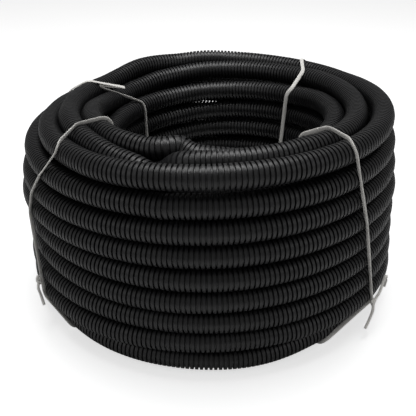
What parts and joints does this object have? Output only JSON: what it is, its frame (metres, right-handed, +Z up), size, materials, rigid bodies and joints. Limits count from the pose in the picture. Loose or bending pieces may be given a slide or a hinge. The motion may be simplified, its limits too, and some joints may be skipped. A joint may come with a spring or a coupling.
{
  "type": "corrugated conduit coil",
  "caption": "Coil of matte black corrugated plastic conduit, wound in rows and layers round an open eye, held by white cord ties, with one cut end open at the back.",
  "frame": {"origin": "middle of the coil at floor level", "axes": "+Z up along the coil's axis, -Y towards the front, the loose end at the back points along +X"},
  "size_m": [0.38, 0.38, 0.2157],
  "materials": {
    "conduit": "matte black, finely textured",
    "tie_cord": "soft white cord, slightly shiny"
  },
  "bodies": {
    "root": {"conduit": "conduit", "tie_front_left": "tie_cord", "tie_front_right": "tie_cord", "tie_back_left": "tie_cord", "tie_back_right": "tie_cord"}
  },
  "joints": []
}
